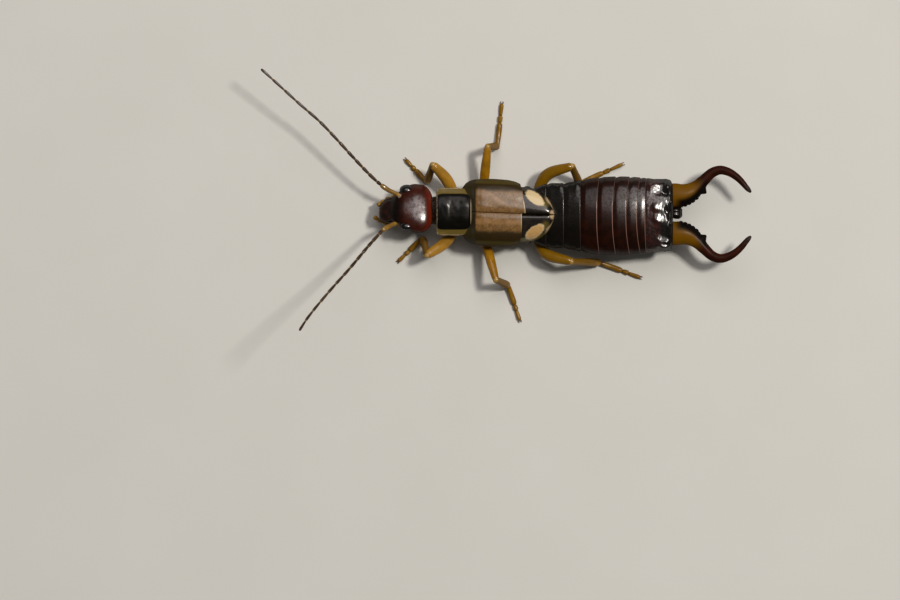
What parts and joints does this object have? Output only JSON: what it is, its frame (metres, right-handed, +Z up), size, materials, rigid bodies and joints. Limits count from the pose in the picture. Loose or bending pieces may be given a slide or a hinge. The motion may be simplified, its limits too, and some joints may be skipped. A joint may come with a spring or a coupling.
{
  "type": "earwig",
  "caption": "Life-size male earwig standing on bent legs, with feelers spread and curved pincers open behind a long ringed body.",
  "frame": {"origin": "middle of the bounding box, on the floor that the feet rest on", "axes": "+X along the trunk from the head towards the pincers, +Y to the animal's right, +Z up"},
  "size_m": [0.021, 0.0112, 0.0059],
  "materials": {
    "head": "glossy",
    "mouth": "glossy",
    "palp": "satin",
    "eye": "polished",
    "feeler_root": "satin",
    "feeler": "finely haired, dull",
    "neck": "soft, dull",
    "shield": "glossy, faintly bumpy",
    "body": "satin",
    "wing_case": "satin, leathery",
    "wing_tip": "satin",
    "abdomen_dark": "glossy, finely pitted",
    "abdomen": "glossy, finely pitted",
    "last_plate": "polished",
    "pincer": "glossy",
    "leg": "glossy",
    "foot": "satin"
  },
  "bodies": {
    "root": {"eye_right": "eye", "mandible_right": "mouth", "cheek_palp_right": "palp", "lip_palp_right": "palp", "feeler_root_right": "feeler_root", "feeler_right": "feeler", "eye_left": "eye", "mandible_left": "mouth", "cheek_palp_left": "palp", "lip_palp_left": "palp", "feeler_root_left": "feeler_root", "feeler_left": "feeler", "head": "head", "labrum": "mouth", "neck": "neck", "neck_shield": "shield", "prothorax": "body", "thorax": "body", "wing_case_right": "wing_case", "wing_tip_right": "wing_tip", "wing_case_left": "wing_case", "wing_tip_left": "wing_tip", "abdomen_base": "abdomen_dark", "abdomen_3": "abdomen_dark", "abdomen_4": "abdomen_dark", "abdomen_5": "abdomen", "abdomen_6": "abdomen", "abdomen_7": "abdomen", "abdomen_8": "abdomen", "abdomen_9": "abdomen", "last_plate": "last_plate", "tail_lobe": "last_plate", "pincer_right": "pincer", "pincer_left": "pincer", "leg_front_right_coxa": "body", "leg_front_right_femur": "leg", "leg_front_right_tibia": "leg", "leg_front_right_tarsus": "foot", "leg_front_left_coxa": "body", "leg_front_left_femur": "leg", "leg_front_left_tibia": "leg", "leg_front_left_tarsus": "foot", "leg_middle_right_coxa": "body", "leg_middle_right_femur": "leg", "leg_middle_right_tibia": "leg", "leg_middle_right_tarsus": "foot", "leg_middle_left_coxa": "body", "leg_middle_left_femur": "leg", "leg_middle_left_tibia": "leg", "leg_middle_left_tarsus": "foot", "leg_hind_right_coxa": "body", "leg_hind_right_femur": "leg", "leg_hind_right_tibia": "leg", "leg_hind_right_tarsus": "foot", "leg_hind_left_coxa": "body", "leg_hind_left_femur": "leg", "leg_hind_left_tibia": "leg", "leg_hind_left_tarsus": "foot"}
  },
  "joints": []
}
